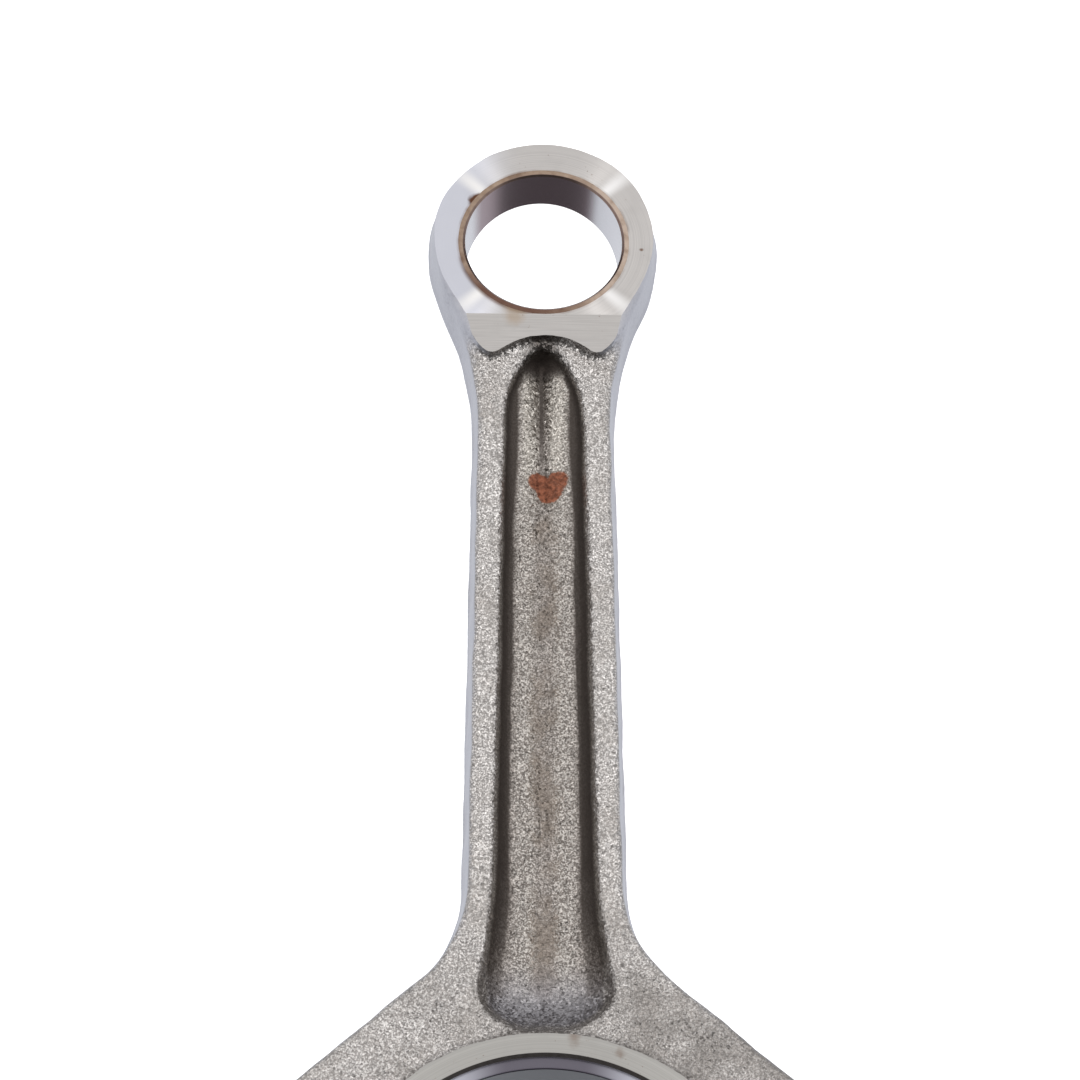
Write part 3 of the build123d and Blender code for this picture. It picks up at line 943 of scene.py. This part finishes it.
def threaded(height, angle, radius):
    """Cuts a screw thread into the rows whose radius is the thread's."""
    turn = np.mod(height / THREAD_PITCH - angle / (2 * math.pi), 1)
    flank = np.clip((np.abs(turn - 0.5) * 2 - THREAD_FLAT) / (1 - 2 * THREAD_FLAT), 0, 1)
    return np.where(np.abs(radius - THREAD_R) < 1e-6, radius - THREAD_DEPTH * flank, radius)


def thread_rows(low, high):
    """Closely spaced rows of a threaded length."""
    count = int((high - low) / THREAD_PITCH * 12)
    return [(low + (high - low) * k / count, THREAD_R) for k in range(count + 1)]


def rod_holes(side):
    """Dowel bore and tapped hole in the rod."""
    step = START + DOWEL_LENGTH / 2 + DOWEL_ROOM
    tip = START + SCREW_TIP_Y
    profile = [(0, DOWEL_R), (step, DOWEL_R), *thread_rows(step + 0.01, tip + TAP_ROOM),
               (tip + DRILL_ROOM, 0.6)]
    place = frame_along((side * BOLT_X, -START, 0), (0, 1, 0))
    return turned("cutter", profile, place, 64, threaded)


def cap_holes(side):
    """Dowel bore, clearance hole and spot-faced seat in the cap."""
    step = START + DOWEL_LENGTH / 2 + DOWEL_ROOM
    seat = START - SEAT_Y
    profile = [(0, DOWEL_R), (step, DOWEL_R), (step, SCREW_HOLE_R), (seat, SCREW_HOLE_R),
               (seat, SPOT_R), (BURIED, SPOT_R)]
    return turned("cutter", profile, frame_along((side * BOLT_X, START, 0), (0, -1, 0)), 96)


SKIN, STRIP, TAPERED, THRUST, HOUSING, CHAMFER, JOINT = range(7)  # finishes of the forgings


def face_kinds(thing):
    """Which finish each face of a machined forging has."""
    centres, normals = face_table(thing.data)
    x, y, z = centres.T
    nx, ny, nz = normals.T
    radius = np.hypot(x, y)
    level = (np.abs(nz) > 0.9999) & near(np.abs(z), HALF)
    slope = math.tan(math.radians(TAPER))
    on_taper = near(np.abs(z), HALF - (y - BEND_Y) * slope) & (ny > 0.1) & (ny < 0.16)
    inner = (nx * x + ny * y) / np.maximum(radius, 1e-6) < -0.5
    mouth = (radius > HOUSING_R + 0.02) & (radius < HOUSING_R + HOUSING_CHAMFER + 0.1)
    kinds = np.full(len(centres), SKIN)
    kinds[level & (y > CENTRES / 2)] = STRIP
    kinds[on_taper & (y > BEND_Y - 0.01)] = TAPERED
    kinds[level & (y < CENTRES / 2)] = THRUST
    kinds[inner & near(radius, HOUSING_R, 0.1)] = HOUSING
    kinds[inner & mouth & ~level] = CHAMFER
    kinds[(np.abs(ny) > 0.9999) & near(np.abs(y), JOINT_GAP)] = JOINT
    from_bolt = np.hypot(np.abs(x) - BOLT_X, z)
    hole = (from_bolt < SPOT_R - 0.01) & (y < 24)
    bore = (from_bolt < DOWEL_R + 0.03) & (y > SEAT_Y - 0.05)
    kinds[hole & bore & (kinds == SKIN)] = JOINT
    kinds[hole & near(y, SEAT_Y)] = JOINT
    kinds[(ny < -0.9999) & near(y, -PAD_Y)] = JOINT
    kinds[near(np.hypot(x, y - CENTRES), BUSH_R, 0.1)] = JOINT
    return kinds


def rod_piece(finishes):
    """The rod: a forged blank, ground, bored, drilled and tapped."""
    low = (-BOSS_X - 1, -2.5, -HALF - 1.5)
    high = (BOSS_X + 1, CENTRES + 20, HALF + 1.5)
    thing = mesh_object("rod_forging", *surface(rod_forging, low, high, 11))
    joint = rectangle((-BURIED, -BURIED), (JOINT_GAP, BURIED))
    eye = turned("cutter", [(-BURIED, BUSH_R), (BURIED, BUSH_R)],
                 Matrix.Translation((0, CENTRES, 0)), 256)
    machine(thing, [*wedge_cutters(), prism("cutter", joint, -2 * BURIED, 2 * BURIED),
                    housing_cutter(), eye, rod_holes(-1), rod_holes(1), tang_cutter()])
    finish_faces(thing, finishes, face_kinds(thing))
    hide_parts("rod_body")
    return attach(thing, "rod")


def cap_piece(finishes):
    """The bearing cap: a forged blank, milled, bored and drilled."""
    low = (-BOSS_X - 1, -PAD_Y - 2, -HALF - 1.5)
    high = (BOSS_X + 1, 2.5, HALF + 1.5)
    thing = mesh_object("cap_forging", *surface(cap_forging, low, high, 12))
    wide = 2 * BURIED
    above = rectangle((-wide, HALF), (wide, wide))
    below = [(y, -z) for y, z in above]
    joint = rectangle((-JOINT_GAP, -wide), (wide, wide))
    pad = rectangle((-wide, -wide), (-PAD_Y, wide))
    cutters = [prism("cutter", profile, -wide, wide) for profile in (above, below, joint, pad)]
    machine(thing, [*cutters, housing_cutter(), cap_holes(-1), cap_holes(1), tang_cutter()])
    finish_faces(thing, finishes, face_kinds(thing))
    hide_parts("bearing_cap")
    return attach(thing, "cap")


def bush_piece():
    """The bush, cut flush with the small end's faces, its chamfers square to them."""
    middle = Matrix.Translation((0, CENTRES, 0))
    thing = turned("bush", [(-HALF - 1, BUSH_R - 0.01), (HALF + 1, BUSH_R - 0.01)], middle, 256)
    cutters = [turned("cutter", [(-BURIED, PIN_R), (BURIED, PIN_R)], middle, 256),
               *wedge_cutters()]
    drop = math.tan(math.radians(TAPER)) * BUSH_R
    for side in (-1, 1):
        tilt = (0, math.sin(math.radians(TAPER)), side * math.cos(math.radians(TAPER)))
        mouth = [(high, PIN_R + BUSH_CHAMFER + high) for high in (-3, 1.5)]
        cutters.append(turned("cutter", mouth,
                              frame_along((0, CENTRES, side * (HALF - drop)), tilt), 256))
    machine(thing, cutters)
    one_finish(thing, bush_bronze())
    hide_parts("small_end_bush")
    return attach(thing, "rod")


def one_finish(thing, material, angle=25.0):
    """Gives a whole piece one material, and a crease at every edge sharper than an angle."""
    finish_faces(thing, [material], np.zeros(len(thing.data.polygons), int))
    work = bmesh.new()
    work.from_mesh(thing.data)
    for edge in work.edges:
        if len(edge.link_faces) == 2:
            edge.smooth = edge.calc_face_angle() < math.radians(angle)
    work.to_mesh(thing.data)
    work.free()


def half_shell(name, outer, inner, half, chamfer, material, tang=False):
    """Half of a thin ring, above (1) or below (-1) the joint face."""
    end = SHELL_HALF
    thing = turned(name, [(-end, outer), (end, outer)], Matrix.Identity(4), 360)
    mouth = [(-end - 1, inner + 1 + chamfer), (-end + chamfer, inner), (end - chamfer, inner),
             (end + 1, inner + 1 + chamfer)]
    far = half * 2 * BURIED
    joint = rectangle((0, -far), (-far, far))
    if tang:
        low, high = TANG_Z - TANG_HALF, TANG_Z + TANG_HALF
        profile = rectangle((0, low), (half * TANG_LENGTH, high))
        lug = prism("lug", profile, outer - 0.8, outer + TANG_HEIGHT)
        right_way_out(lug)
        right_way_out(thing)
        add = thing.modifiers.new("lug", "BOOLEAN")
        add.operation, add.solver, add.object = "UNION", "MANIFOLD", lug
    machine(thing, [turned("cutter", mouth, Matrix.Identity(4), 360),
                    prism("cutter", joint, -2 * BURIED, 2 * BURIED)])
    if tang:
        bpy.data.objects.remove(lug)
    one_finish(thing, material)
    return thing


def shell_pieces():
    """Both bearing shells: a steel back with its tang, and the lining bonded inside it."""
    back, alloy = shell_steel(), lining_alloy()
    bond_r = CRANK_R + LINING
    for place, half, body in (("upper", 1, "rod"), ("lower", -1, "cap")):
        outer = half_shell(f"{place}_back", HOUSING_R - 0.01, bond_r, half, 0.0, back, True)
        inner = half_shell(f"{place}_lining", bond_r - 0.005, CRANK_R, half, LINING_CHAMFER, alloy)
        for thing, node, slot in ((outer, "back", "shell_steel"), (inner, "lining", "lining")):
            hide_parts(f"{place}_shell_{node}")
            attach(thing, body)


def twelve_points(angle, radius):
    """Turns the rows of the head's points into a twelve-pointed section."""
    sector = math.pi / 3
    one = POINTS_APOTHEM / np.cos(np.mod(angle, sector) - sector / 2)
    two = POINTS_APOTHEM / np.cos(np.mod(angle + sector / 2, sector) - sector / 2)
    star = np.minimum(np.maximum(one, two), POINTS_TIP_R)
    return np.where(np.abs(radius - POINTS_R) < 1e-6, star, radius)


def screw_shape(height, angle, radius):
    """The head's points and the thread together."""
    return threaded(height, angle, twelve_points(angle, radius))


def screw_piece(side, name, material):
    """Cap screw, built along +Y from its head's end."""
    seat = SEAT_Y - SCREW_END_Y
    tip = SCREW_TIP_Y - SCREW_END_Y
    start = tip - THREAD_LENGTH
    profile = [(1.6, 1.2), (1.5, 2.3), (0.12, 3.35), (0.0, 3.7), (0.0, 4.7), (0.35, 5.35),
               (0.7, POINTS_R), (3.2, POINTS_R), (5.0, POINTS_R), (5.3, 5.6), (5.6, 5.75),
               (6.6, FLANGE_R - 0.25), (6.8, FLANGE_R), (seat - 0.15, FLANGE_R),
               (seat, FLANGE_R - 0.15), (seat, 5.1), (seat + 0.25, 4.35),
               (seat + 0.7, SCREW_SHANK_R), (start - 0.8, SCREW_SHANK_R),
               *thread_rows(start, tip - 1.0), (tip - 0.9, 3.85), (tip, 3.3)]
    place = frame_along((side * BOLT_X, SCREW_END_Y, 0), (0, 1, 0))
    thing = turned(f"screw_{name}", profile, place, 192, screw_shape)
    one_finish(thing, material, 32)
    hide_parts(f"cap_screw_{name}")
    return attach(thing, f"screw_{name}")


# -------- camera, floor and light
def place_camera():
    """Looks down on the shank from the big end's side, nearly square to the side faces."""
    aim = Vector((-0.474, 0.6985 * CENTRES, 0)) * MM
    pitch, yaw, roll = (math.radians(angle) for angle in (20.823, -1.635, -0.117))
    distance = 447.8 * MM
    turn = Matrix.Rotation(yaw, 4, "Y") @ Matrix.Rotation(pitch, 4, "X")
    turn = turn @ Matrix.Rotation(roll, 4, "Z")
    data = bpy.data.cameras.new("camera")
    data.lens, data.sensor_width = 100.0, 36.0
    data.clip_start, data.clip_end = 0.01, 20.0
    camera = bpy.data.objects.new("camera", data)
    back = turn @ Vector((0, 0, distance))
    camera.matrix_world = Matrix.Translation(aim + back) @ turn
    bpy.context.scene.collection.objects.link(camera)
    bpy.context.scene.camera = camera


def lay_floor():
    """White light table that the rod lies on."""
    wide = 3000
    points = [(x, y, -HALF) for x, y in rectangle((-wide, -wide), (wide, wide))]
    floor = mesh_object("floor", points, [(0, 1, 2, 3)])
    material = bpy.data.materials.new("floor")
    material.use_nodes = True
    shader = material.node_tree.nodes["Principled BSDF"]
    shader.inputs["Base Color"].default_value = (0.8, 0.8, 0.8, 1)
    shader.inputs["Roughness"].default_value = 0.9
    shader.inputs["Emission Color"].default_value = (1, 1, 1, 1)
    shader.inputs["Emission Strength"].default_value = 0.95
    floor.data.materials.append(material)
    floor.visible_glossy = False


def softbox(side):
    """Round lamp that faces the shank, on the left (-1) or the right (1)."""
    name = "softbox_left" if side < 0 else "softbox_right"
    data = bpy.data.lights.new(name, "AREA")
    data.shape, data.size, data.energy = "DISK", 0.06, 1.1
    light = bpy.data.objects.new(name, data)
    way = Vector((side * 0.48, 0.02, 0.87)).normalized()
    aim = Vector((0, 0.7 * CENTRES * MM, 0))
    turn = way.to_track_quat("Z", "Y").to_matrix().to_4x4()
    light.matrix_world = Matrix.Translation(aim + way * 0.9) @ turn
    bpy.context.scene.collection.objects.link(light)


def light_world():
    """White studio round the rod: bright above, darker below on the camera's side."""
    g = Graph("studio", bpy.data.worlds, "Background")
    bpy.context.scene.world = g.owner
    _, y, z = g.split(g.source["Generated"])
    below = g.rise(y, -0.18, -0.10, 0.18, 0.95)
    above = g.rise(y, -0.60, -0.30, 0.12, 0.92)
    g.feed(g.shader.inputs["Strength"], g.rise(z, -0.25, 0.15, below, above))
    tint = g.blend(g.rise(z, -0.3, 0.4), (0.92, 0.945, 1.0), (1.0, 1.0, 1.0))
    g.feed(g.shader.inputs["Color"], tint)


# -------- the scene
bpy.context.scene.view_settings.view_transform = "Standard"
place_camera()
lay_floor()
light_world()
for side in (-1, 1):
    softbox(side)

steel = [forged_steel(), ground_strip(), turned_taper(), thrust_steel(), honed_bore(),
         chamfer_steel(), joint_steel()]  # in the order of SKIN to JOINT
rod_piece(steel)
cap_piece(steel)
bush_piece()
shell_pieces()
screw_material = screw_steel()
screw_piece(-1, "left", screw_material)
screw_piece(1, "right", screw_material)
ground = dowel_steel()
for node in ("dowel_left", "dowel_right"):
    frame["nodes"][node].data.materials.clear()
    frame["nodes"][node].data.materials.append(ground)
